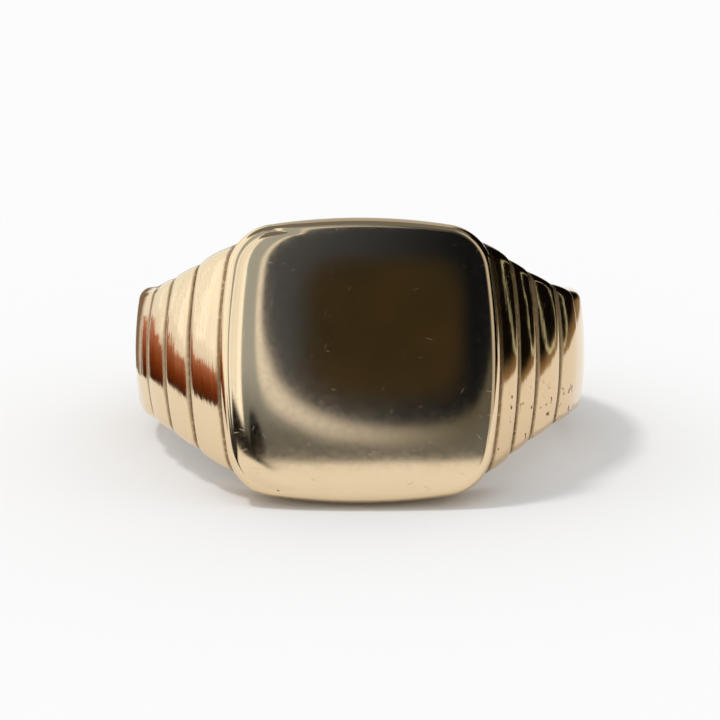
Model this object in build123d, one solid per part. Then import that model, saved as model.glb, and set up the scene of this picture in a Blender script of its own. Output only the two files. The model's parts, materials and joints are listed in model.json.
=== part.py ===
from build123d import *
import os
from math import asin, atan2, cos, degrees, pi, radians, sin, sqrt

os.makedirs("parts", exist_ok=True)

# A gentleman's signet ring in yellow gold, fabricated and soldered.
#
# Making frame: the finger axis is Z, the flat of the face looks along -Y, and an angle round the
# band is measured from the middle of the face, positive towards +X (the right shoulder).
# At the end every piece is turned and lifted together, so that the ring lies as it does on a
# table: on the lower side of its head and the lower edge of the back of its shank.

# ---- Driving dimensions, in millimetres ----------------------------------------------------

# Band
bore_diameter = 19.8
side_wall = 1.6
back_wall = 1.25
side_half_width = 3.15
back_half_width = 1.9
liner_wall = 0.5

# Head. Heights are measured from the finger's surface towards the face. The girdle is the widest
# line of the head, where the face plate sits on the wall.
face_height = 2.6
seat_height = 1.35
girdle_half_x = 6.86
girdle_half_z = 7.0
face_inset_x = 0.46
face_inset_z = 0.38
foot_inset_z = 0.3
bow_radius = 28.5
corner_radius = 2.45
face_dome_radius = 42.0
head_wall_thickness = 0.9
locating_step = 0.3
step_clearance = 0.05

# Shoulders. One value for each edge of the ribs, from the head back to the shank: how far the
# groove stands out from the finger's surface, and half the width of the band there. The left
# shoulder narrows faster than the right.
groove_heights = [2.7, 2.25, 1.9, 1.65, 1.5]
left_groove_half_widths = [5.6, 4.66, 3.92, 3.36, 3.18]
right_groove_half_widths = [5.7, 4.95, 4.3, 3.58, 3.18]
crown_drops = [0.55, 0.45, 0.32, 0.24, 0.2]
edge_drops = [0.6, 0.5, 0.46, 0.45, 0.45]

# The angle that each rib takes up, from the head back. The ribs were laid by hand, and those on
# the right are narrower beside the head.
left_rib_spans = [10.7, 11.1, 11.5, 11.7]
right_rib_spans = [6.6, 7.7, 11.9, 13.8]

rib_swell = 0.2
rib_side_swell = 0.06
swell_skew = 1.35
edge_width = 0.55
shank_steps = 12

# ---- Values that follow ---------------------------------------------------------------------

bore_radius = bore_diameter / 2
liner_radius = bore_radius + liner_wall
groove_radii = [bore_radius + height for height in groove_heights]
section_root = bore_radius - 1.0
face_level = bore_radius + face_height
seat_level = bore_radius + seat_height
head_foot_level = sqrt(bore_radius**2 - girdle_half_x**2) - 0.5
head_angle = degrees(asin(girdle_half_x / groove_radii[0]))
hidden_start_angle = degrees(asin((girdle_half_x - corner_radius) / groove_radii[0]))


def groove_angles(spans):
    """The angle of each edge of the ribs of one shoulder, from the head wall to the shank."""
    angles = [head_angle]
    for span in spans:
        angles.append(angles[-1] + span)
    return angles


def radial_plane(angle):
    """The plane through the finger axis at an angle, with X outwards and Y along the axis."""
    turn = radians(angle)
    outwards = (sin(turn), -cos(turn), 0)
    across = (-cos(turn), -sin(turn), 0)
    return Plane(origin=(0, 0, 0), x_dir=outwards, z_dir=across)


def band_section(angle, crest, half_width, crown_drop, edge_drop):
    """The D-shaped section of the band at an angle, from inside the bore out to its crest."""
    crown_foot = crest - crown_drop
    rim = crown_foot - edge_drop
    crown_half = half_width - edge_width
    slant = sqrt(0.5)
    edge_out = rim + edge_drop * slant
    edge_side = crown_half + edge_width * slant
    with BuildSketch(radial_plane(angle)) as section:
        with BuildLine():
            Line((section_root, -half_width), (rim, -half_width))
            ThreePointArc((rim, -half_width), (edge_out, -edge_side), (crown_foot, -crown_half))
            ThreePointArc((crown_foot, -crown_half), (crest, 0), (crown_foot, crown_half))
            ThreePointArc((crown_foot, crown_half), (edge_out, edge_side), (rim, half_width))
            Line((rim, half_width), (section_root, half_width))
            Line((section_root, half_width), (section_root, -half_width))
        make_face()
    return section.sketch


def between(first, last, share):
    return first + (last - first) * share


def swell(share):
    """How far a rib stands out along its length: nothing at its grooves, and steeper at its foot."""
    return sin(pi * share**swell_skew)


def half_widths_on(side):
    """Half the width of the band at each edge of the ribs. The left side is -1, the right is 1."""
    return left_groove_half_widths if side < 0 else right_groove_half_widths


def rib_section(side, angles, place, share):
    """The section of the band at a share of the way along a rib."""
    widths = half_widths_on(side)
    angle = between(angles[place], angles[place + 1], share)
    crest = between(groove_radii[place], groove_radii[place + 1], share)
    half_width = between(widths[place], widths[place + 1], share)
    return band_section(
        side * angle,
        crest + rib_swell * swell(share),
        half_width + rib_side_swell * swell(share),
        between(crown_drops[place], crown_drops[place + 1], share),
        between(edge_drops[place], edge_drops[place + 1], share),
    )


def rib_band(side, angles, place):
    """A rib with the stretch of liner under it. The rib beside the head starts inside the head."""
    stations = [0, 0.1, 0.25, 0.42, 0.6, 0.76, 0.88, 0.96, 1]
    band = loft([rib_section(side, angles, place, share) for share in stations])
    if place == 0:
        hidden = band_section(
            side * hidden_start_angle,
            groove_radii[0],
            half_widths_on(side)[0],
            crown_drops[0],
            edge_drops[0],
        )
        band += loft([hidden, rib_section(side, angles, place, 0)], ruled=True)
    return band


def cushion(level, half_x, half_z, corner):
    """The outline of the head at a level: a square with bowed sides and rounded corners."""
    bow_x = bow_radius - half_x
    bow_z = bow_radius - half_z
    outline = Pos(-bow_x, 0) * Circle(bow_radius) & Pos(bow_x, 0) * Circle(bow_radius)
    outline &= Pos(0, -bow_z) * Circle(bow_radius) & Pos(0, bow_z) * Circle(bow_radius)
    outline = fillet(outline.vertices(), corner)
    facing = Plane(origin=(0, -level, 0), x_dir=(1, 0, 0), z_dir=(0, -1, 0))
    return facing * outline


def round_bore(radius):
    """A cylinder on the finger axis, long enough to pass right through the ring."""
    return Cylinder(radius, 4 * girdle_half_z)


def head_block():
    """The head without its cavity: the walls below the girdle, drawn in a little at the finger."""
    foot_half_z = girdle_half_z - foot_inset_z
    girdle = cushion(seat_level, girdle_half_x, girdle_half_z, corner_radius)
    foot = cushion(head_foot_level, girdle_half_x, foot_half_z, corner_radius)
    return loft([girdle, foot], ruled=True)


def space_over_head():
    """What lies over the girdle's outline, which the ribs keep out of."""
    girdle = cushion(seat_level, girdle_half_x, girdle_half_z, corner_radius)
    return extrude(girdle, 2 * face_height)


def head_cavity(inset, deepest, highest):
    """The inside of the head wall, or what drops into it, between two levels."""
    half_x = girdle_half_x - head_wall_thickness - inset
    half_z = girdle_half_z - foot_inset_z - head_wall_thickness - inset
    corner = corner_radius - head_wall_thickness
    outline = cushion(deepest, half_x, half_z, corner)
    return extrude(outline, highest - deepest)


def face_plate():
    """The domed table, with sides that slope in to the face and a step that drops in the wall."""
    face_half_x = girdle_half_x - face_inset_x
    face_half_z = girdle_half_z - face_inset_z
    girdle = cushion(seat_level, girdle_half_x, girdle_half_z, corner_radius)
    top = cushion(face_level, face_half_x, face_half_z, corner_radius - face_inset_x)
    table = loft([girdle, top], ruled=True)
    dome = Pos(0, face_dome_radius - face_level, 0) * Sphere(face_dome_radius)
    step = head_cavity(step_clearance, seat_level - locating_step, seat_level)
    return (table & dome) + step


def shank_section(angle):
    """A section of the plain back of the shank: thickest at the sides, slim under the hand."""
    from_face = min(angle, 360 - angle)
    side = 1 if angle < 180 else -1
    shoulder_end = right_angles[-1] if side > 0 else left_angles[-1]
    if from_face < 90:
        share = sin(pi / 2 * (from_face - shoulder_end) / (90 - shoulder_end))
        height = between(groove_heights[-1], side_wall, share)
        half_width = between(half_widths_on(side)[-1], side_half_width, share)
    else:
        share = (1 - cos(radians(2 * (from_face - 90)))) / 2
        height = between(side_wall, back_wall, share)
        half_width = between(side_half_width, back_half_width, share)
    return band_section(
        angle, bore_radius + height, half_width, crown_drops[-1], edge_drops[-1]
    )


def rear_shank():
    """The plain back of the band, from the end of one shoulder round to the other."""
    start = right_angles[-1]
    end = 360 - left_angles[-1]
    sections = []
    for step in range(shank_steps + 1):
        sections.append(shank_section(between(start, end, step / shank_steps)))
    return loft(sections) - round_bore(bore_radius)


def rest_tilt():
    """How far the ring leans back when the head and the back of the shank lie on a table."""
    head_reach = seat_level
    back_reach = bore_radius + back_wall - crown_drops[-1] - edge_drops[-1] / 2
    return degrees(atan2(girdle_half_z - back_half_width, head_reach + back_reach))


# ---- The pieces -----------------------------------------------------------------------------

left_angles = groove_angles(left_rib_spans)
right_angles = groove_angles(right_rib_spans)
shoulders = {"left": (-1, left_angles), "right": (1, right_angles)}
block = head_block()
head_space = block + space_over_head()
sleeve_wall = round_bore(liner_radius) - round_bore(bore_radius)

pieces = {"face_plate": face_plate()}
collar = block - head_cavity(0, head_foot_level - 1, seat_level)
pieces["head_wall"] = collar - round_bore(liner_radius)

sleeve = block & sleeve_wall
for side_name, (side, angles) in shoulders.items():
    for place in range(len(angles) - 1):
        band = rib_band(side, angles, place)
        sleeve += band & sleeve_wall
        pieces[f"{side_name}_rib_{place + 1}"] = band - round_bore(liner_radius) - head_space
pieces["finger_sleeve"] = sleeve
pieces["rear_shank"] = rear_shank()

# ---- Laid down on the table and written out -------------------------------------------------

lean = Rot(X=-rest_tilt())
leaning = Compound(children=[(lean * piece) for piece in pieces.values()])
box = leaning.bounding_box()
middle_x = (box.min.X + box.max.X) / 2
middle_y = (box.min.Y + box.max.Y) / 2
place_on_table = Pos(-middle_x, -middle_y, -box.min.Z) * lean

for name, piece in pieces.items():
    placed = place_on_table * piece
    placed.label = name
    export_step(placed, f"parts/{name}.step")

centre = place_on_table.position
along = rest_tilt()
print(f"lean {along:.4f} degrees")
print(f"finger axis through {centre.X:.4f}, {centre.Y:.4f}, {centre.Z:.4f}")
print(f"finger axis along 0, {sin(radians(along)):.6f}, {cos(radians(along)):.6f}")
print(f"overall {box.size.X:.3f} x {box.size.Y:.3f} x {box.size.Z:.3f}")
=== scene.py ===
import json
from math import asin, atan2, cos, degrees, pi, radians, sin, sqrt

import bmesh
import bpy
from mathutils import Matrix, Vector, noise


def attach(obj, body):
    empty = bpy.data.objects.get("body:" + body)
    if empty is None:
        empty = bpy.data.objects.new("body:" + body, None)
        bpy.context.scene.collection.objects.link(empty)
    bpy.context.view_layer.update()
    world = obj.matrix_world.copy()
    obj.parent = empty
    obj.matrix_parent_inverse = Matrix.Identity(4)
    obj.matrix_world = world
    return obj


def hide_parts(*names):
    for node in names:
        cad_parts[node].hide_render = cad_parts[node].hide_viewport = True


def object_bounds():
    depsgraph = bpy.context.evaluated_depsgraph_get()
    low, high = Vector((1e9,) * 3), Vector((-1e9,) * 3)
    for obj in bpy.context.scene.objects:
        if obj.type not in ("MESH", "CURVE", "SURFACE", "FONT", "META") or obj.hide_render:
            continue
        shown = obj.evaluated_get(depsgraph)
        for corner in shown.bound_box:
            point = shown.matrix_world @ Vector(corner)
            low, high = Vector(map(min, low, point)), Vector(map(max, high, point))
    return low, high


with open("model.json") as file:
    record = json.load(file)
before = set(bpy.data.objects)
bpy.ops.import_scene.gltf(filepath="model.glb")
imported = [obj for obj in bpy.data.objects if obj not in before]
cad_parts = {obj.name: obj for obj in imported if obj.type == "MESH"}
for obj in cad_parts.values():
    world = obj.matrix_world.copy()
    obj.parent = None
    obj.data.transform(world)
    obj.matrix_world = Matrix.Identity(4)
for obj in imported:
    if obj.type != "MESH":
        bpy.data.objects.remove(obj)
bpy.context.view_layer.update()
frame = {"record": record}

# A signet ring in pale yellow gold, lying on a table. Shapes are worked out in the making frame,
# in millimetres: Z is the finger axis and -Y is the way the face looks. The bore's mount says
# where that frame stands in the room.

# ---- Sizes, in millimetres and degrees, as in the CAD ----------------------------------------

BORE = 9.9
LINER = 10.4
SIDE_WALL, BACK_WALL = 1.6, 1.25
SIDE_HALF_WIDTH, BACK_HALF_WIDTH = 3.15, 1.9

FACE_LEVEL, SEAT_LEVEL = BORE + 2.6, BORE + 1.35
GIRDLE_X, GIRDLE_Z = 6.86, 7.0
FACE_X, FACE_Z = GIRDLE_X - 0.46, GIRDLE_Z - 0.38
FOOT_Z = GIRDLE_Z - 0.3
BOW = 28.5
GIRDLE_CORNER, FACE_CORNER = 2.45, 1.99
HEAD_WALL = 0.9
FOOT_SINK = 0.5
LOCATING_STEP = 0.3
STEP_CLEARANCE = 0.05

GROOVE_HEIGHTS = [2.7, 2.25, 1.9, 1.65, 1.5]
LEFT_HALF_WIDTHS = [5.6, 4.66, 3.92, 3.36, 3.18]
RIGHT_HALF_WIDTHS = [5.7, 4.95, 4.3, 3.58, 3.18]
CROWN_DROPS = [0.55, 0.45, 0.32, 0.24, 0.2]
EDGE_DROPS = [0.6, 0.5, 0.46, 0.45, 0.45]
LEFT_SPANS = [10.7, 11.1, 11.5, 11.7]
RIGHT_SPANS = [6.6, 7.7, 11.9, 13.8]
EDGE_WIDTH = 0.55
SIDE_SWELL = 0.06

# What the CAD leaves plain: the roundness of a rib, as shares of its length and heights over the
# line from groove to groove, and the softened inner edges of the band.

RIB_SWELL = 0.24
GROOVE_DIP = 0.07
NEAR_EDGE, FAR_EDGE = 0.1, 0.76
NEAR_RISE = 0.55
HEAD_RIB_FALL = 0.15
RIB_SIDE_FALL = 0.35
SOFT_CORNER = 0.12

# Unevenness: how far apart the waves are, and how high.

FACE_WAVE = (3.2, 0.004)
RIB_WAVES = ((1.3, 0.010), (0.45, 0.0015))
SHANK_WAVES = ((1.8, 0.010), (0.5, 0.0012))

# Grime: how far it reaches from the foot of a rib and from its far edge, and the seam of solder
# round the head, which is full at first and then fades.

FOOT_GRIME, LIP_GRIME = 0.30, 0.1
SEAM_FULL, SEAM_FADE, SEAM_DEPTH = 2.1, 0.12, 0.85

# Dullness from wear: where it starts and ends on the rounded far edge, how far it reaches at the
# foot as a multiple of the near edge, and how fast it grows.

DULL_LAG, DULL_END = 0.04, 0.96
DULL_FOOT, DULL_GAIN = 1.6, 2

bore_mount = frame["record"]["mounts"][0]
finger_axis = Vector(bore_mount["axis"]).normalized()
lean = atan2(finger_axis.y, finger_axis.z)
laid_down = Matrix.Translation(bore_mount["pos_m"]) @ Matrix.Rotation(-lean, 4, "X")
making_frame = laid_down @ Matrix.Scale(0.001, 4)

groove_radii = [BORE + height for height in GROOVE_HEIGHTS]
head_angle = degrees(asin(GIRDLE_X / groove_radii[0]))


def between(first, last, share):
    return first + (last - first) * share


def groove_angles(spans):
    angles = [head_angle]
    for span in spans:
        angles.append(angles[-1] + span)
    return angles


left_angles = groove_angles(LEFT_SPANS)
right_angles = groove_angles(RIGHT_SPANS)


# ---- Mesh building -----------------------------------------------------------------------------

SHARP_ANGLE = 38
SETTLING_ROUNDS = 30


def wander(point, waves):
    """The slow, slight unevenness of a hand-finished surface at a point."""
    return sum(height * noise.noise(point / size) for size, height in waves)


def add_object(name, data):
    thing = bpy.data.objects.new(name, data)
    bpy.context.collection.objects.link(thing)
    return thing


def flat_mesh(name, points, faces):
    mesh = bpy.data.meshes.new(name)
    mesh.from_pydata(points, [], faces)
    return mesh


def make_piece(name, points, faces, node, values=None):
    """A piece from points of the making frame, standing for its CAD node."""
    mesh = flat_mesh(name, [making_frame @ point for point in points], faces)
    mesh.validate()
    shell = bmesh.new()
    shell.from_mesh(mesh)
    bmesh.ops.recalc_face_normals(shell, faces=shell.faces)
    shell.to_mesh(mesh)
    shell.free()
    mesh.shade_smooth()
    mesh.set_sharp_from_angle(angle=radians(SHARP_ANGLE))
    for kind, levels in (values or {}).items():
        mesh.attributes.new(kind, "FLOAT", "POINT").data.foreach_set("value", levels)
    piece = add_object(name, mesh)
    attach(piece, "root")
    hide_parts(node)
    return piece


def skin(loops, closed):
    """Faces that join each loop of points to the next, with flat ends unless the row closes."""
    size = len(loops[0])
    faces = []
    rows = len(loops)
    for row in range(rows if closed else rows - 1):
        a, b = row * size, (row + 1) % rows * size
        for step in range(size):
            after = (step + 1) % size
            faces.append((a + step, a + after, b + after, b + step))
    if not closed:
        faces.append(tuple(range(size - 1, -1, -1)))
        faces.append(tuple(range((rows - 1) * size, rows * size)))
    return faces


class Cushion:
    """A square with bowed sides and rounded corners, in the plane of the face."""

    def __init__(self, half_x, half_z, corner):
        self.corner = corner
        self.back_x, self.back_z = BOW - half_x, BOW - half_z
        reach = BOW - corner
        self.centre_x, self.centre_z = half_x - corner, half_z - corner
        for _ in range(SETTLING_ROUNDS):
            self.centre_x = sqrt(reach**2 - self.centre_z**2) - self.back_x
            self.centre_z = sqrt(reach**2 - self.centre_x**2) - self.back_z
        grow = BOW / reach
        self.side_end = (grow * (self.centre_x + self.back_x) - self.back_x, grow * self.centre_z)
        self.top_end = (grow * self.centre_x, grow * (self.centre_z + self.back_z) - self.back_z)

    def x_at(self, z):
        """How far out the side is at a height, up to where the top begins."""
        z = abs(z)
        if z <= self.side_end[1]:
            return sqrt(BOW**2 - z**2) - self.back_x
        across = min(z - self.centre_z, self.corner)
        return self.centre_x + sqrt(self.corner**2 - across**2)

    def z_at(self, x):
        """How high the top is at a distance from the middle, up to where the side begins."""
        x = abs(x)
        if x <= self.top_end[0]:
            return sqrt(BOW**2 - x**2) - self.back_z
        if x <= self.side_end[0]:
            across = x - self.centre_x
            return self.centre_z + sqrt(self.corner**2 - across**2)
        return sqrt(max(BOW**2 - (x + self.back_x) ** 2, 0))

    def point(self, turn):
        """The point of the outline in a direction from the middle."""
        way_x, way_z = cos(turn), sin(turn)
        side_turn = atan2(self.side_end[1], self.side_end[0])
        top_turn = atan2(self.top_end[1], self.top_end[0])
        steep = atan2(abs(way_z), abs(way_x))
        if steep < side_turn:
            middle, radius = (-self.back_x, 0), BOW
        elif steep > top_turn:
            middle, radius = (0, -self.back_z), BOW
        else:
            middle, radius = (self.centre_x, self.centre_z), self.corner
        along = abs(way_x) * middle[0] + abs(way_z) * middle[1]
        square = middle[0] ** 2 + middle[1] ** 2
        far = along + sqrt(along**2 - square + radius**2)
        return far * way_x, far * way_z


def girdle_at(level):
    """The outline of the head wall at a level: it draws in a little towards the finger."""
    foot_level = sqrt(BORE**2 - GIRDLE_X**2) - FOOT_SINK
    share = (SEAT_LEVEL - level) / (SEAT_LEVEL - foot_level)
    return Cushion(GIRDLE_X, between(GIRDLE_Z, FOOT_Z, share), GIRDLE_CORNER)


# ---- The head ----------------------------------------------------------------------------------

OUTLINE_STEPS = 288
DOME_STEPS, BROW_STEPS = 64, 26
WALL_STEPS, WALL_BACK_STEPS = 14, 4
LEVEL_ROUNDS = 4

DOME_RADIUS_X, DOME_RADIUS_Z = 50.0, 60.0
DOME_EDGE_DROP, DOME_EDGE_POWER = 0.05, 8
LEFT_ROLL_WIDTH, LEFT_ROLL_DROP = 1.7, 0.14
BROW_POWER, BROW_START = 2.5, 0.16
GIRDLE_LIP = 0.03
LIP_SHRINK = 0.996
STEP_CENTRE = 0.1

face_outline = Cushion(FACE_X, FACE_Z, FACE_CORNER)
girdle = Cushion(GIRDLE_X, GIRDLE_Z, GIRDLE_CORNER)
turns = [2 * pi * step / OUTLINE_STEPS for step in range(OUTLINE_STEPS)]


def dome_level(x, z):
    """The level of the face: a low dome, falling faster close to its edges and most on the left."""
    dome = x**2 / (2 * DOME_RADIUS_X) + z**2 / (2 * DOME_RADIUS_Z)
    roll = (x / FACE_X) ** DOME_EDGE_POWER + (z / FACE_Z) ** DOME_EDGE_POWER
    left = max(-x - face_outline.x_at(z) + LEFT_ROLL_WIDTH, 0) / LEFT_ROLL_WIDTH
    uneven = wander(Vector((x, 3.0, z)), [FACE_WAVE])
    return FACE_LEVEL - dome - DOME_EDGE_DROP * roll - LEFT_ROLL_DROP * left**3 + uneven


def brow(turn):
    """How far out, and how far down, the rounded slope from the face to the girdle has come."""
    outwards = sin(turn) ** (2 / BROW_POWER)
    return outwards, 1 - (1 - outwards**BROW_POWER) ** (1 / BROW_POWER)


def face_loop(scale):
    loop = []
    for turn in turns:
        x, z = face_outline.point(turn)
        loop.append(Vector((x * scale, -dome_level(x * scale, z * scale), z * scale)))
    return loop


def build_face_plate():
    loops = [face_loop(step / DOME_STEPS) for step in range(1, DOME_STEPS + 1)]
    edge = loops[-1]
    rim = []
    for turn in turns:
        x, z = girdle.point(turn)
        rim.append(Vector((x, -SEAT_LEVEL, z)))
    first_out, first_down = brow(BROW_START)
    for step in range(1, BROW_STEPS + 1):
        out, down = brow(between(BROW_START, pi / 2, step / BROW_STEPS))
        out = (out - first_out) / (1 - first_out)
        down = (down - first_down) / (1 - first_down)
        loop = []
        for start, end in zip(edge, rim):
            x, z = between(start.x, end.x, out), between(start.z, end.z, out)
            loop.append(Vector((x, between(start.y, end.y, down), z)))
        loops.append(loop)
    lip = Vector((0, GIRDLE_LIP, 0))
    loops.append([point - lip for point in rim])
    loops.append([Vector((point.x * LIP_SHRINK, point.y, point.z * LIP_SHRINK)) for point in rim])
    seat_x = GIRDLE_X - HEAD_WALL - STEP_CLEARANCE
    seat_z = FOOT_Z - HEAD_WALL - STEP_CLEARANCE
    seat = Cushion(seat_x, seat_z, GIRDLE_CORNER - HEAD_WALL)
    step_level = SEAT_LEVEL - LOCATING_STEP
    for scale, level in ((1, SEAT_LEVEL), (1, step_level), (STEP_CENTRE, step_level)):
        loop = []
        for turn in turns:
            x, z = seat.point(turn)
            loop.append(Vector((x * scale, -level, z * scale)))
        loops.append(loop)
    points = [point for loop in loops for point in loop]
    return make_piece("domed_face", points, skin(loops, False), "face_plate")


def wall_point(turn, share, inset):
    """A point of the head wall: share runs from the girdle down to the finger sleeve."""
    level = SEAT_LEVEL
    for _ in range(LEVEL_ROUNDS):
        outline = girdle_at(level)
        if inset:
            outline = Cushion(GIRDLE_X - inset, FOOT_Z - inset, GIRDLE_CORNER - inset)
        x, z = outline.point(turn)
        foot = sqrt(LINER**2 - x**2)
        level = between(SEAT_LEVEL, foot, share)
    return Vector((x, -level, z))


def build_head_wall():
    loops = []
    for turn in turns:
        loop = [wall_point(turn, step / WALL_STEPS, 0) for step in range(WALL_STEPS + 1)]
        for step in range(WALL_BACK_STEPS + 1):
            loop.append(wall_point(turn, 1 - step / WALL_BACK_STEPS, HEAD_WALL))
        loops.append(loop)
    points = [point for loop in loops for point in loop]
    return make_piece("flared_head_wall", points, skin(loops, True), "head_wall")


# ---- The band ----------------------------------------------------------------------------------

CROWN_STEPS = 76
FOOT_STEPS, BODY_STEPS, LIP_STEPS = 8, 26, 18
SHANK_STEPS, SLEEVE_STEPS = 170, 380
INSIDE_STEPS, CORNER_STEPS, BORE_STEPS = 3, 4, 4
NEAR_HEAD = 45
LEAST_RIB = 0.001


def round_point(radius, angle, z):
    return Vector((radius * sin(angle), -radius * cos(angle), z))


def crown_radius(z, crest, half_width, crown_drop, edge_drop):
    """The outside of the D section: a low crown with rounded edges."""
    flat = half_width - EDGE_WIDTH
    reach = abs(z) / flat
    radius = crest - crown_drop * reach**2
    if reach > 1:
        over = min((abs(z) - flat) / EDGE_WIDTH, 1)
        radius -= edge_drop * (1 - sqrt(1 - over**2))
    return radius


def outer_heights(half_width):
    """Where the outside is sampled across the band: closer together at the rounded edges."""
    shares = [2 * step / CROWN_STEPS - 1 for step in range(CROWN_STEPS + 1)]
    return [half_width * sin(pi / 2 * share) for share in shares]


def rib_rise(share, place):
    """A rib's height over the line from groove to groove: rounded edges and a low crown between.

    The rib beside the head comes out of the head at its full height.
    """
    if share > FAR_EDGE:
        return sqrt(1 - ((share - FAR_EDGE) / (1 - FAR_EDGE)) ** 2)
    if place == 0:
        return 1 - HEAD_RIB_FALL * (1 - share / FAR_EDGE) ** 2
    if share < NEAR_EDGE:
        return NEAR_RISE * sqrt(1 - (1 - share / NEAR_EDGE) ** 2)
    return 1 - (1 - NEAR_RISE) * (1 - (share - NEAR_EDGE) / (FAR_EDGE - NEAR_EDGE)) ** 2


def head_side_angle(radius, z):
    """The angle at which a ring of that radius comes out of the head wall."""
    return asin(min(girdle.x_at(z) / radius, 1))


def half_widths_on(side):
    return LEFT_HALF_WIDTHS if side < 0 else RIGHT_HALF_WIDTHS


def rib_section(place, share, side):
    """Radius, height and whether it shows, for each point of a rib's section."""
    a, b = place, place + 1
    widths = half_widths_on(side)
    half_width = between(widths[a], widths[b], share) + SIDE_SWELL * rib_rise(share, place)
    crown_drop = between(CROWN_DROPS[a], CROWN_DROPS[b], share)
    edge_drop = between(EDGE_DROPS[a], EDGE_DROPS[b], share)
    line = between(groove_radii[a], groove_radii[b], share)
    section = []
    for z in outer_heights(half_width):
        side_fall = 1 - RIB_SIDE_FALL * abs(z / half_width) ** 3
        rise = (RIB_SWELL + GROOVE_DIP) * rib_rise(share, place) * side_fall
        rise -= GROOVE_DIP
        section.append((crown_radius(z, line + rise, half_width, crown_drop, edge_drop), z, True))
    middle = between(section[-1][0], LINER, 0.5)
    section.append((middle, half_width, False))
    for step in range(2 * INSIDE_STEPS + 1):
        section.append((LINER, half_width * (1 - step / INSIDE_STEPS), False))
    section.append((middle, -half_width, False))
    return section


def rib_loop(angles, place, share, side):
    """A rib's section at a share of its length. Beside the head, it starts at the head's wall."""
    start_angle, end = angles[place], radians(angles[place + 1])
    loop = []
    for radius, z, shows in rib_section(place, share, side):
        start = radians(start_angle)
        if start_angle < NEAR_HEAD:
            emerge = head_side_angle(radius, z)
            start = min(emerge if place == 0 else max(start, emerge), end - LEAST_RIB)
        angle = between(start, end, share)
        point = round_point(radius, side * angle, z)
        if shows:
            radius += wander(point, RIB_WAVES)
            point = round_point(radius, side * angle, z)
        loop.append(point)
    return loop


def rib_shares():
    """Where a rib is sampled along its length: closely over its rounded far edge."""
    foot = [NEAR_EDGE * (1 - cos(pi / 2 * step / FOOT_STEPS)) for step in range(FOOT_STEPS)]
    body = [between(NEAR_EDGE, FAR_EDGE, step / BODY_STEPS) for step in range(BODY_STEPS)]
    lip = []
    for step in range(LIP_STEPS + 1):
        lip.append(FAR_EDGE + (1 - FAR_EDGE) * sin(pi / 2 * step / LIP_STEPS))
    return foot + body + lip


def grime_at(share, arc, place):
    """How dirty a rib is at a share of its length, which is an arc of so many millimetres."""
    grime = max(0, 1 - share * arc / FOOT_GRIME, 1 - (1 - share) * arc / LIP_GRIME)
    if place == 0:
        grime = max(grime, min(SEAM_FULL - share * arc / SEAM_FADE, SEAM_DEPTH))
    return grime


def dullness_at(share, place):
    """How dull a rib is at a share of its length: most at its far edge and at its foot."""
    wear = max(0, (share - FAR_EDGE - DULL_LAG) / (DULL_END - FAR_EDGE))
    if place > 0:
        wear = max(wear, 1 - share / (DULL_FOOT * NEAR_EDGE))
    return min(wear * DULL_GAIN, 1)


def build_rib(name, node, angles, place, side):
    shares = rib_shares()
    loops = [rib_loop(angles, place, share, side) for share in shares]
    arc = groove_radii[place] * radians(angles[place + 1] - angles[place])
    grooves, edges = [], []
    for share, loop in zip(shares, loops):
        grooves += [grime_at(share, arc, place)] * len(loop)
        edges += [dullness_at(share, place)] * len(loop)
    points = [point for loop in loops for point in loop]
    values = {"groove": grooves, "edge": edges}
    return make_piece(name, points, skin(loops, False), node, values)


def shank_shape(angle, shoulder_end):
    from_face = min(angle, 360 - angle)
    if from_face < 90:
        share = sin(pi / 2 * (from_face - shoulder_end) / (90 - shoulder_end))
        height = between(GROOVE_HEIGHTS[-1], SIDE_WALL, share)
        half_width = between(LEFT_HALF_WIDTHS[-1], SIDE_HALF_WIDTH, share)
    else:
        share = (1 - cos(radians(2 * (from_face - 90)))) / 2
        height = between(SIDE_WALL, BACK_WALL, share)
        half_width = between(SIDE_HALF_WIDTH, BACK_HALF_WIDTH, share)
    return BORE + height, half_width


def inner_corner(root, half_width):
    """The softened inner edges of the band and the straight bore between them."""
    side = []
    for step in range(CORNER_STEPS + 1):
        turn = pi / 2 * step / CORNER_STEPS
        radius = root + SOFT_CORNER * (1 - sin(turn))
        side.append((radius, half_width - SOFT_CORNER * (1 - cos(turn))))
    middle = []
    for step in range(1, 2 * BORE_STEPS):
        middle.append((root, (half_width - SOFT_CORNER) * (1 - step / BORE_STEPS)))
    return side + middle + [(radius, -z) for radius, z in reversed(side)]


def build_shank():
    start, end = right_angles[-1], 360 - left_angles[-1]
    loops = []
    for step in range(SHANK_STEPS + 1):
        angle = between(start, end, step / SHANK_STEPS)
        shoulder_end = right_angles[-1] if angle < 180 else left_angles[-1]
        crest, half_width = shank_shape(angle, shoulder_end)
        turn = radians(angle)
        loop = []
        for z in outer_heights(half_width):
            radius = crown_radius(z, crest, half_width, CROWN_DROPS[-1], EDGE_DROPS[-1])
            point = round_point(radius, turn, z)
            radius += wander(point, SHANK_WAVES)
            loop.append(round_point(radius, turn, z))
        for radius, z in inner_corner(BORE, half_width):
            loop.append(round_point(radius, turn, z))
        loops.append(loop)
    points = [point for loop in loops for point in loop]
    return make_piece("plain_shank", points, skin(loops, False), "rear_shank")


def sleeve_half_width(radius, angle, angles):
    """Half the sleeve's width: as wide as the head under it, and as the ribs beyond it."""
    x = radius * sin(abs(angle))
    width = degrees(abs(angle))
    widths = half_widths_on(angle)
    rib_width = widths[0]
    for place in range(4):
        if angles[place] <= width:
            share = min((width - angles[place]) / (angles[place + 1] - angles[place]), 1)
            rib_width = between(widths[place], widths[place + 1], share)
            rib_width += SIDE_SWELL * rib_rise(share, place)
    head_width = girdle_at(radius * cos(angle)).z_at(x) if x < GIRDLE_X else 0
    return max(head_width, rib_width)


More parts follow.
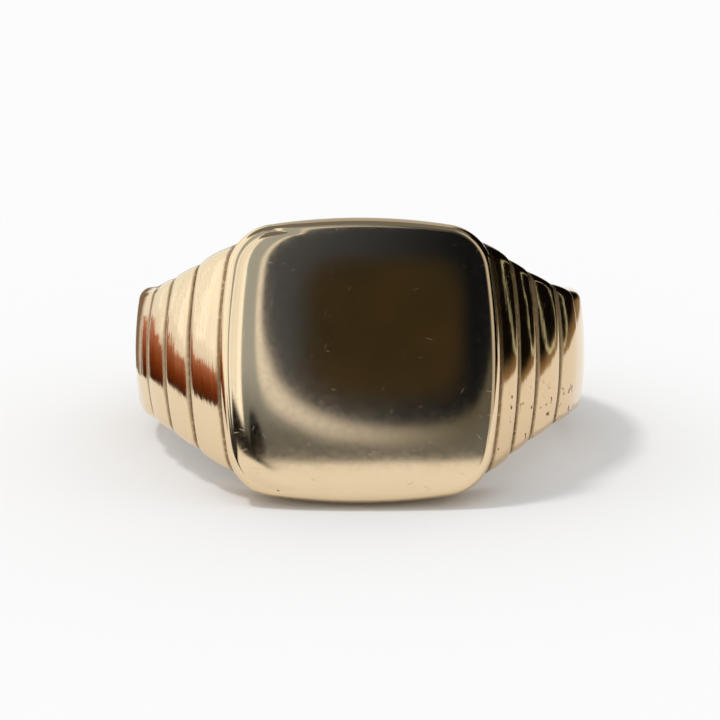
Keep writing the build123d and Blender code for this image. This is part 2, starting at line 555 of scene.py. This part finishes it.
def build_sleeve():
    loops = []
    for step in range(SLEEVE_STEPS + 1):
        angle = radians(between(-left_angles[-1], right_angles[-1], step / SLEEVE_STEPS))
        angles = left_angles if angle < 0 else right_angles
        outer = sleeve_half_width(LINER, angle, angles)
        inner = sleeve_half_width(BORE, angle, angles)
        loop = []
        for step in range(2 * INSIDE_STEPS + 1):
            loop.append(round_point(LINER, angle, outer * (step / INSIDE_STEPS - 1)))
        loop += [round_point(radius, angle, z) for radius, z in inner_corner(BORE, inner)]
        loops.append(loop)
    points = [point for loop in loops for point in loop]
    return make_piece("sleeve", points, skin(loops, False), "finger_sleeve")


# ---- Nodes -------------------------------------------------------------------------------------
#
# These take and give sockets, so that one can be handed straight to the next.

def add(tree, kind, **settings):
    node = tree.nodes.new(kind)
    for key, value in settings.items():
        setattr(node, key, value)
    return node


def put(tree, node, name, value):
    """Sets an input to a constant, or joins it to another node's socket."""
    socket = node.inputs[name]
    if isinstance(value, bpy.types.NodeSocket):
        tree.links.new(value, socket)
    elif socket.type == "RGBA":
        socket.default_value = (*value, 1)
    else:
        socket.default_value = value


def new_material(name):
    material = bpy.data.materials.new(name)
    material.use_nodes = True
    return material, material.node_tree


def place_on_object(tree):
    return add(tree, "ShaderNodeTexCoord").outputs["Object"]


def parts_of(tree, vector):
    node = add(tree, "ShaderNodeSeparateXYZ")
    put(tree, node, "Vector", vector)
    return node.outputs


def mapped(tree, vector, name, value):
    node = add(tree, "ShaderNodeMapping")
    put(tree, node, "Vector", vector)
    put(tree, node, name, value)
    return node.outputs["Vector"]


def millimetres(tree, turn=(0, 0, 0), stretch=(1, 1, 1)):
    """Object coordinates along the making frame's axes, in millimetres, turned and stretched."""
    level = add(tree, "ShaderNodeMapping")
    put(tree, level, "Vector", place_on_object(tree))
    put(tree, level, "Scale", (1000, 1000, 1000))
    put(tree, level, "Rotation", (lean, 0, 0))
    turned = mapped(tree, level.outputs["Vector"], "Rotation", turn)
    return mapped(tree, turned, "Scale", stretch)


def noise_at(tree, coordinates, scale, detail, output="Fac"):
    texture = add(tree, "ShaderNodeTexNoise")
    put(tree, texture, "Vector", coordinates)
    put(tree, texture, "Scale", scale)
    put(tree, texture, "Detail", detail)
    return texture.outputs[output]


def ranged(tree, value, low, high, to_low=0.0, to_high=1.0, shape="LINEAR"):
    change = add(tree, "ShaderNodeMapRange", interpolation_type=shape)
    put(tree, change, "Value", value)
    put(tree, change, "From Min", low)
    put(tree, change, "From Max", high)
    put(tree, change, "To Min", to_low)
    put(tree, change, "To Max", to_high)
    return change.outputs["Result"]


def soft_step(tree, value, edge, softness, falling=False):
    """Nothing on one side of an edge and one on the other, with a soft change between."""
    ends = (1.0, 0.0) if falling else (0.0, 1.0)
    return ranged(tree, value, edge - softness, edge + softness, *ends, "SMOOTHSTEP")


def combine(tree, operation, *values):
    node = add(tree, "ShaderNodeMath", operation=operation)
    for place, value in enumerate(values):
        put(tree, node, place, value)
    return node.outputs["Value"]


def layer(tree, below, colour, mask):
    """Paints a colour over what is below where a mask is one."""
    mix = add(tree, "ShaderNodeMix", data_type="RGBA")
    put(tree, mix, "Factor", mask)
    put(tree, mix, "A", below)
    put(tree, mix, "B", colour)
    return mix.outputs["Result"]


def bump(tree, height, distance, invert=False, over=None):
    node = add(tree, "ShaderNodeBump", invert=invert)
    put(tree, node, "Strength", 1.0)
    put(tree, node, "Distance", distance)
    put(tree, node, "Height", height)
    if over is not None:
        put(tree, node, "Normal", over)
    return node.outputs["Normal"]


# ---- Gold --------------------------------------------------------------------------------------

PALE_GOLD = (0.82, 0.64, 0.41)
# Painted shade: a darker copy of the pale gold, for the ribs on the right, the side away from the
# sun.
SHADED_GOLD = (0.76, 0.57, 0.35)
WORN_GOLD = (0.80, 0.62, 0.39)
DIRT = (0.17, 0.09, 0.022)

SCRATCH_TURNS = (0.3, 1.15, 2.2, 2.9)
SCRATCH_STRETCH = (1.3, 1.3, 24.0)
SCRATCH_WIDTH = 0.05
SCRATCH_DEPTH = 1.2e-6
STROKE_STRETCH = (5.0, 5.0, 0.35)
TONE_CHANGE = 0.03
DIRT_DULLNESS, EDGE_DULLNESS = 0.3, 0.36
PIT_HEIGHTS = (3.6, 2.4)


def scratches(tree, rarity):
    """Short hair-fine scratches that lie in several directions across the face."""
    total = None
    for turn in SCRATCH_TURNS:
        streak = noise_at(tree, millimetres(tree, (0, turn, 0), SCRATCH_STRETCH), 1.0, 0.0)
        thin = ranged(tree, streak, rarity, rarity + SCRATCH_WIDTH)
        total = thin if total is None else combine(tree, "MAXIMUM", total, thin)
    return total


def pits(tree):
    """Small pits, more of them towards the edge of the band that lies nearest the table."""
    deep = ranged(tree, noise_at(tree, millimetres(tree), 2.6, 4.0), 0.635, 0.68)
    low_down = ranged(tree, parts_of(tree, millimetres(tree))["Z"], *PIT_HEIGHTS)
    return combine(tree, "MULTIPLY", deep, low_down)


def grooved_dirt(tree, pitted):
    """Where dirt lies: broken up along the grooves, and in the pits."""
    groove = add(tree, "ShaderNodeAttribute", attribute_name="groove").outputs["Fac"]
    patchy = noise_at(tree, millimetres(tree), 5.0, 4.0)
    dirt = combine(tree, "MULTIPLY", groove, ranged(tree, patchy, 0.25, 0.5, 0.55, 1.0))
    return combine(tree, "MAXIMUM", dirt, pits(tree)) if pitted else dirt


def gold(name, colour, roughness, rarity, grain, grime=False, pitted=False):
    """Worn yellow gold: a polish with slow waviness, and scratches that a high rarity makes few.

    With grime, its grooves are dirty and its edges dull.
    """
    material, tree = new_material(name)
    shader = tree.nodes["Principled BSDF"]
    put(tree, shader, "Metallic", 1.0)

    cloud = noise_at(tree, millimetres(tree), 0.6, 3.0)
    darker = [part * (1 - TONE_CHANGE) for part in colour]
    brighter = [min(part * (1 + TONE_CHANGE), 1) for part in colour]
    tone = layer(tree, darker, brighter, cloud)
    haze = noise_at(tree, millimetres(tree), 3.5, 6.0)
    dull = ranged(tree, haze, 0.3, 0.75, roughness * 0.85, roughness * 1.3)
    scratch = scratches(tree, rarity)
    rough = combine(tree, "MULTIPLY_ADD", scratch, dull, dull)
    if grime:
        dirt = grooved_dirt(tree, pitted)
        edge = add(tree, "ShaderNodeAttribute", attribute_name="edge").outputs["Fac"]
        tone = layer(tree, tone, DIRT, dirt)
        rough = combine(tree, "MULTIPLY_ADD", dirt, DIRT_DULLNESS, rough)
        rough = combine(tree, "MULTIPLY_ADD", edge, EDGE_DULLNESS, rough)
    put(tree, shader, "Base Color", tone)
    put(tree, shader, "Roughness", rough)

    strokes = noise_at(tree, millimetres(tree, stretch=STROKE_STRETCH), 1.4, 3.0)
    brushed = bump(tree, strokes, grain)
    put(tree, shader, "Normal", bump(tree, scratch, SCRATCH_DEPTH, True, brushed))
    return material


face_gold = gold("face_gold", PALE_GOLD, 0.085, 0.845, 0.4e-7)
rib_gold = gold("rib_gold", PALE_GOLD, 0.075, 0.90, 1.1e-5, grime=True)
# The right ribs' gold: real pits and dirt, on a base colour darkened as painted shade.
pitted_shaded_gold = gold("pitted_shaded_gold", SHADED_GOLD, 0.08, 0.90, 4.0e-6, grime=True, pitted=True)
band_gold = gold("band_gold", PALE_GOLD, 0.11, 0.83, 4.0e-7)
bore_gold = gold("bore_gold", WORN_GOLD, 0.24, 0.80, 9.0e-7)


def finish_piece(piece, material):
    piece.data.materials.append(material)


finish_piece(build_face_plate(), face_gold)
finish_piece(build_head_wall(), face_gold)
finish_piece(build_sleeve(), bore_gold)
finish_piece(build_shank(), band_gold)
for side_name, side, angles in (("left", -1, left_angles), ("right", 1, right_angles)):
    for place in range(4):
        node = f"{side_name}_rib_{place + 1}"
        rib = build_rib(f"{side_name}_shoulder_step_{place + 1}", node, angles, place, side)
        # The right ribs take the gold whose darker base colour is painted shade.
        finish_piece(rib, rib_gold if side < 0 else pitted_shaded_gold)


# ---- The table, the sky and the sun ------------------------------------------------------------
#
# From here on, sizes are in metres, but for the flag's radius, which is in millimetres.

TABLE_RADIUS, TABLE_CORNERS = 0.7, 96
TABLE_ALBEDO = 0.80
SKY, SKY_SEEN, SKY_MIRRORED = 0.94, 0.974, 0.2
SUN, SUN_ANGLE = 0.95, 9
SUN_FROM = Vector((-0.44, -0.07, 1.0))
FLAG_RADIUS = 9.7

low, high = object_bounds()
middle = (low + high) / 2


def build_table():
    material, tree = new_material("pale_table")
    shader = tree.nodes["Principled BSDF"]
    put(tree, shader, "Base Color", (TABLE_ALBEDO,) * 3)
    put(tree, shader, "Roughness", 1.0)
    put(tree, shader, "Specular IOR Level", 0.0)
    bpy.ops.mesh.primitive_circle_add(
        vertices=TABLE_CORNERS, radius=TABLE_RADIUS, fill_type="NGON", location=(0, 0, 0)
    )
    table = bpy.context.object
    table.name = "table"
    table.data.materials.append(material)


def build_sky():
    """An even white sky, which is a little brighter to look at and much darker in the gold."""
    world = bpy.data.worlds.new("studio")
    bpy.context.scene.world = world
    world.use_nodes = True
    tree = world.node_tree
    sky = tree.nodes["Background"]
    put(tree, sky, "Color", (1, 1, 1))
    path = add(tree, "ShaderNodeLightPath").outputs
    seen = combine(tree, "MULTIPLY_ADD", path["Is Camera Ray"], SKY_SEEN - SKY, SKY)
    mirrored = combine(tree, "MULTIPLY_ADD", path["Is Glossy Ray"], SKY_MIRRORED - SKY, seen)
    put(tree, sky, "Strength", mirrored)


def build_sun():
    light = bpy.data.lights.new("key", "SUN")
    light.energy = SUN
    light.angle = radians(SUN_ANGLE)
    sun = add_object("key", light)
    sun.rotation_mode = "QUATERNION"
    sun.rotation_quaternion = SUN_FROM.to_track_quat("Z", "Y")
    sun.visible_glossy = False


def build_flag():
    """A disc in the finger hole that does nothing but keep the sun off the table behind the head."""
    edge = []
    for turn in turns:
        edge.append(making_frame @ Vector((FLAG_RADIUS * cos(turn), FLAG_RADIUS * sin(turn), 0)))
    flag = add_object("light_flag", flat_mesh("light_flag", edge, [tuple(range(len(edge)))]))
    flag.visible_camera = False
    flag.visible_diffuse = False
    flag.visible_glossy = False
    flag.visible_transmission = False


build_table()
build_sky()
build_sun()
build_flag()


# ---- What the gold reflects --------------------------------------------------------------------
#
# Cards stand round the ring. A bearing is in degrees: 0 is in front of the face, 90 to its right.

FRONT_DISTANCE = 0.11
FRONT_ELEVATION = 10.0
FRONT_HEIGHT = 0.006
RAGGED_STEPS = 160
RAGGED_SCALE = 900
FRAME_STEPS = 96
FRAME_THICKNESS = 0.12
FRAME_SQUARENESS = 0.7
WOOD_SHADES = ((0.12, (0.05, 0.010, 0.001)), (0.5, (0.20, 0.045, 0.010)), (1.0, (0.52, 0.20, 0.12)))

WOOD_BEARINGS = (245, 304)
SHADE_BEARINGS = (207, 247)
LOW_DARK_BEARINGS = (314, 350)


def way(azimuth, elevation):
    """The direction in which a bearing points, at a height over the table."""
    a, e = radians(azimuth), radians(elevation)
    return Vector((sin(a) * cos(e), -cos(a) * cos(e), sin(e)))


def round_ring(radius, bearing, height):
    """A point at a distance from the middle of the ring, in a direction and at a height."""
    turn = radians(bearing)
    return radius * sin(turn), -radius * cos(turn), height


def add_card(name, points, faces, material):
    """A studio card that shows in the gold and nowhere else."""
    mesh = flat_mesh(name, points, faces)
    mesh.materials.append(material)
    card = add_object(name, mesh)
    card.visible_camera = False
    card.visible_diffuse = False
    card.visible_shadow = False
    card.visible_transmission = False
    return card


def screen(name, bearings, radii, tops, material, steps=24):
    """An upright card that curves round the ring, with a distance and a height for each end."""
    points = []
    for step in range(steps + 1):
        bearing = between(*bearings, step / steps)
        radius = between(*radii, step / steps)
        for height in (0.0, between(*tops, step / steps)):
            points.append(round_ring(radius, bearing, height))
    faces = [(2 * step, 2 * step + 2, 2 * step + 3, 2 * step + 1) for step in range(steps)]
    return add_card(name, points, faces, material)


def ragged_screen(name, bearings, radii, tops, raggedness, material):
    """A low card with an uneven upper edge."""
    card = screen(name, bearings, radii, tops, material, RAGGED_STEPS)
    for corner in card.data.vertices:
        if corner.co.z > 0:
            corner.co.z += raggedness * noise.noise(corner.co * RAGGED_SCALE)


def squared(value):
    """A sine or a cosine pushed towards its ends, as for a rounded square."""
    return abs(value) ** FRAME_SQUARENESS * (1 if value > 0 else -1)


def light_frame(bearings, heights, radius, material):
    """A thin lit outline, rounded like a window seen from afar."""
    points, faces = [], []
    for step in range(FRAME_STEPS):
        turn = 2 * pi * step / FRAME_STEPS
        for grow in (1, 1 - FRAME_THICKNESS):
            bearing = between(*bearings, (1 + grow * squared(cos(turn))) / 2)
            height = between(*heights, (1 + grow * squared(sin(turn))) / 2)
            points.append(round_ring(radius, bearing, height))
    for step in range(FRAME_STEPS):
        after = (step + 1) % FRAME_STEPS
        faces.append((2 * step, 2 * after, 2 * after + 1, 2 * step + 1))
    add_card("light_frame", points, faces, material)


def card_material(name):
    """A material that has nothing but its output yet."""
    material, tree = new_material(name)
    tree.nodes.remove(tree.nodes["Principled BSDF"])
    return material, tree


def show(tree, colour, strength=1.0, mask=None):
    """Gives a card its light: everywhere, or only where a mask is one."""
    light = add(tree, "ShaderNodeEmission")
    put(tree, light, "Color", colour)
    put(tree, light, "Strength", strength)
    surface = light.outputs["Emission"]
    if mask is not None:
        mix = add(tree, "ShaderNodeMixShader")
        put(tree, mix, 0, mask)
        put(tree, mix, 1, add(tree, "ShaderNodeBsdfTransparent").outputs["BSDF"])
        put(tree, mix, 2, surface)
        surface = mix.outputs["Shader"]
    put(tree, tree.nodes["Material Output"], "Surface", surface)


def height_on_card(tree):
    return parts_of(tree, place_on_object(tree))["Z"]


def bearing_on_card(tree):
    """The bearing of a point of a curved card in radians, below zero on the left."""
    place = parts_of(tree, place_on_object(tree))
    return combine(tree, "ARCTAN2", place["X"], combine(tree, "MULTIPLY", place["Y"], -1))


def faded_ends(tree, bearings, softness):
    """One along a curved card on the left, falling softly to nothing near its two ends."""
    bearing = bearing_on_card(tree)
    start, end = [radians(edge - 360) for edge in bearings]
    soft = radians(softness)
    rising = soft_step(tree, bearing, start + soft, soft)
    return combine(tree, "MULTIPLY", rising, soft_step(tree, bearing, end - soft, soft, True))


def glow(name, colour, strength):
    material, tree = card_material(name)
    show(tree, colour, strength)
    return material


def curtain():
    """Daylight through the upright folds of a curtain."""
    material, tree = card_material("window_light")
    folds = noise_at(tree, mapped(tree, place_on_object(tree), "Scale", (34, 34, 1.5)), 1.0, 3.0)
    show(tree, (0.94, 0.97, 1.0), ranged(tree, folds, 0.32, 0.62, 0.86, 1.5))
    return material


def soft_shade(bearings):
    """A plain olive tone with faded ends."""
    material, tree = card_material("olive_shade")
    show(tree, (0.24, 0.16, 0.10), mask=faded_ends(tree, bearings, 3))
    return material


def wood(bearings):
    """Red wood that darkens towards the table, streaked upright, with faded ends."""
    material, tree = card_material("red_wood")
    streaked = mapped(tree, place_on_object(tree), "Scale", (900, 900, 90))
    rise = ranged(tree, height_on_card(tree), 0.0003, 0.0050, -0.12, 0.75)
    varied = combine(tree, "MULTIPLY_ADD", noise_at(tree, streaked, 1.0, 4.0), 0.45, rise)
    ramp = add(tree, "ShaderNodeValToRGB")
    put(tree, ramp, "Fac", varied)
    shades = ramp.color_ramp.elements
    shades.new(0.5)
    for shade, (position, colour) in zip(shades, WOOD_SHADES):
        shade.position = position
        shade.color = (*colour, 1)
    show(tree, ramp.outputs["Color"], mask=faded_ends(tree, bearings, 2))
    return material


def sloping_dark(bearings):
    """A dark thing on the table in front of the ring, lower towards the right, with soft edges."""
    material, tree = card_material("low_dark")
    level = combine(tree, "MULTIPLY_ADD", bearing_on_card(tree), 0.01326, height_on_card(tree))
    under = soft_step(tree, level, -0.0024, 0.0011, True)
    mask = combine(tree, "MULTIPLY", under, faded_ends(tree, bearings, 3))
    show(tree, (0.004, 0.002, 0.001), mask=mask)
    return material


def dark_corner():
    """A dark part of the room, with a brown edge along the table."""
    material, tree = card_material("dark_corner")
    near_table = soft_step(tree, height_on_card(tree), 0.0019, 0.0024, True)
    show(tree, layer(tree, (0.004, 0.003, 0.002), (0.36, 0.24, 0.12), near_table))
    return material


def front_degrees(tree):
    """Degrees across the front card, and up it, as seen from the ring."""
    scale = (degrees(1) / FRONT_DISTANCE,) * 3
    return mapped(tree, place_on_object(tree), "Scale", scale)


def rippled_degrees(tree):
    """The same with a slow ripple."""
    scaled = front_degrees(tree)
    pushed = add(tree, "ShaderNodeVectorMath", operation="MULTIPLY_ADD")
    put(tree, pushed, 0, noise_at(tree, scaled, 0.16, 3.0, "Color"))
    put(tree, pushed, 1, (1.6, 1.6, 1.6))
    put(tree, pushed, 2, scaled)
    return parts_of(tree, pushed.outputs["Vector"])


def oval(tree, bearings, centre, radii, power):
    """Distance from a centre: one on an oval, whose shape nears a box as the power grows."""
    parts = []
    for name, middle_at, radius in zip("XZ", centre, radii):
        scale = 1 / radius
        part = combine(tree, "MULTIPLY_ADD", bearings[name], scale, -middle_at * scale)
        parts.append(combine(tree, "POWER", combine(tree, "ABSOLUTE", part), power))
    return combine(tree, "POWER", combine(tree, "ADD", *parts), 1 / power)


def room_in_front():
    """What stands before the face: a dark camera with its holder against a brighter room."""
    material, tree = card_material("room_in_front")
    bearings = rippled_degrees(tree)
    to_right = soft_step(tree, bearings["X"], 2.0, 17.0)
    lower = soft_step(tree, bearings["Z"], -4.0, 6.0, True)
    room = layer(tree, (0.42, 0.48, 0.54), (0.05, 0.05, 0.05), to_right)
    room = layer(tree, room, (0.14, 0.15, 0.16), lower)

    dark = oval(tree, bearings, (6.6, 8.8), (20.8, 16.2), 2.35)
    arc_tone = layer(tree, (0.92, 0.93, 0.98), (0.13, 0.13, 0.11), to_right)
    room = layer(tree, room, arc_tone, soft_step(tree, dark, 1.15, 0.05, True))
    holder_tone = layer(tree, (0.068, 0.082, 0.112), (0.006, 0.008, 0.012), to_right)
    room = layer(tree, room, holder_tone, soft_step(tree, dark, 1.0, 0.035, True))

    lens = oval(tree, bearings, (4.3, 5.0), (12.6, 9.8), 4.0)
    mottle = ranged(tree, noise_at(tree, front_degrees(tree), 0.12, 2.0), 0.35, 0.65)
    lens_tone = layer(tree, (0.036, 0.030, 0.014), (0.050, 0.036, 0.016), mottle)
    room = layer(tree, room, lens_tone, soft_step(tree, lens, 0.92, 0.22, True))
    patch = oval(tree, bearings, (-19.5, -10.6), (6.0, 4.6), 2.0)
    room = layer(tree, room, (0.002, 0.001, 0.001), soft_step(tree, patch, 0.95, 0.2, True))
    show(tree, room)
    return material


def front_card():
    half_x, below, above = 0.062, -0.0265, 0.09
    corners = [(-half_x, 0, below), (half_x, 0, below), (half_x, 0, above), (-half_x, 0, above)]
    card = add_card("front_room", corners, [(0, 1, 2, 3)], room_in_front())
    stand = Vector((0, middle.y, FRONT_HEIGHT))
    card.location = stand + way(0, FRONT_ELEVATION) * FRONT_DISTANCE
    card.rotation_euler = (-radians(FRONT_ELEVATION), 0, 0)


window_back = glow("window_light_back", (0.92, 0.97, 1.0), 1.1)
front_right = glow("front_right_light", (0.6, 0.57, 0.52), 1.0)
back_light = glow("back_light", (0.95, 0.95, 0.92), 0.54)
frame_light = glow("frame_light", (0.62, 0.66, 0.52), 1.0)

screen("left_window", (238, 336), (0.30, 0.30), (0.34, 0.34), curtain())
screen("left_back", (195, 238), (0.30, 0.30), (0.34, 0.34), window_back)
ragged_screen(
    "left_wood", WOOD_BEARINGS, (0.0215, 0.034), (0.0057, 0.0046), 0.0014, wood(WOOD_BEARINGS)
)
ragged_screen(
    "left_shade", SHADE_BEARINGS, (0.0165, 0.021), (0.0085, 0.0085), 0.003, soft_shade(SHADE_BEARINGS)
)
screen(
    "low_dark", LOW_DARK_BEARINGS, (0.05, 0.05), (0.0095, 0.0018), sloping_dark(LOW_DARK_BEARINGS)
)
screen("right_dark", (62, 150), (0.052, 0.036), (0.065, 0.065), dark_corner())
screen("right_front", (36, 62), (0.06, 0.06), (0.10, 0.10), front_right)
screen("back_wall", (150, 195), (0.30, 0.30), (0.55, 0.55), back_light)
light_frame((88, 112), (0.0026, 0.0176), 0.035, frame_light)
front_card()

# ---- The camera --------------------------------------------------------------------------------

CAMERA_AZIMUTH, CAMERA_ELEVATION, CAMERA_DISTANCE = 0.0, 16.0, 0.25
CAMERA_LENS = 244.7
AIM_HEIGHT = 0.00424

camera_data = bpy.data.cameras.new("camera")
camera_data.lens = CAMERA_LENS
camera_data.clip_start, camera_data.clip_end = 0.01, 5
camera = add_object("camera", camera_data)
back = way(CAMERA_AZIMUTH, CAMERA_ELEVATION)
camera.location = Vector((0, middle.y, AIM_HEIGHT)) + back * CAMERA_DISTANCE
camera.rotation_mode = "QUATERNION"
camera.rotation_quaternion = back.to_track_quat("Z", "Y")
bpy.context.scene.camera = camera
bpy.context.scene.view_settings.view_transform = "Standard"
